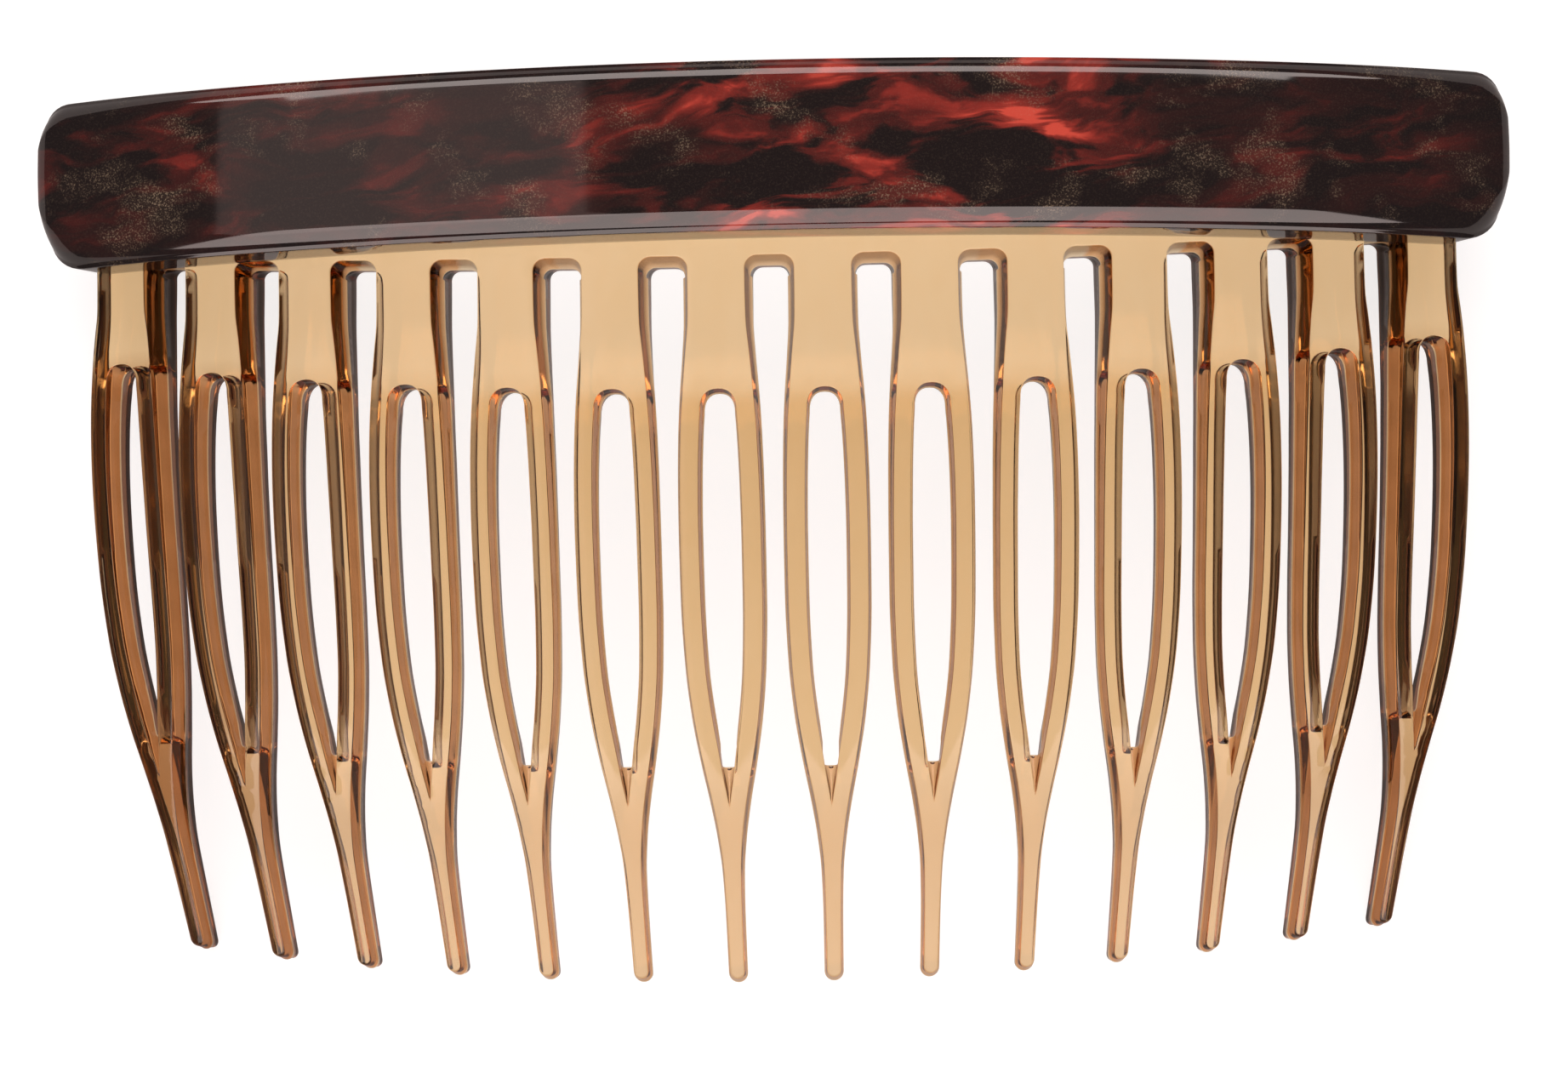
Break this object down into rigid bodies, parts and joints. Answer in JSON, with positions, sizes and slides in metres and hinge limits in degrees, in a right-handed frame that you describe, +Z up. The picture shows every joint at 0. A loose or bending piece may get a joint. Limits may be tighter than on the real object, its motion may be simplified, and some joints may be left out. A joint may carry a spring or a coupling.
{
  "type": "decorative hair comb",
  "caption": "Side hair comb: a glossy dark tortoiseshell acetate bar glued to a bent translucent brown comb with looped teeth.",
  "frame": {"origin": "middle of the footprint, on the surface the comb lies on", "axes": "+X along the bar; +Y from the teeth towards the bar; +Z up, out of the convex front. The comb lies on its concave side, on the ends of its spine and the tips of its two outer teeth."},
  "size_m": [0.091, 0.056, 0.019],
  "materials": {
    "acetate": "polished tortoiseshell acetate, near black with dark red veins and fine gold flecks",
    "glue": "clear amber adhesive",
    "moulded_comb": "translucent light brown moulded plastic, glossy"
  },
  "bodies": {
    "root": {"acetate_bar": "acetate", "glue_film": "glue", "comb_spine": "moulded_comb", "tooth_01": "moulded_comb", "tooth_02": "moulded_comb", "tooth_03": "moulded_comb", "tooth_04": "moulded_comb", "tooth_05": "moulded_comb", "tooth_06": "moulded_comb", "tooth_07": "moulded_comb", "tooth_08": "moulded_comb", "tooth_09": "moulded_comb", "tooth_10": "moulded_comb", "tooth_11": "moulded_comb", "tooth_12": "moulded_comb", "tooth_13": "moulded_comb", "tooth_14": "moulded_comb"}
  },
  "joints": []
}
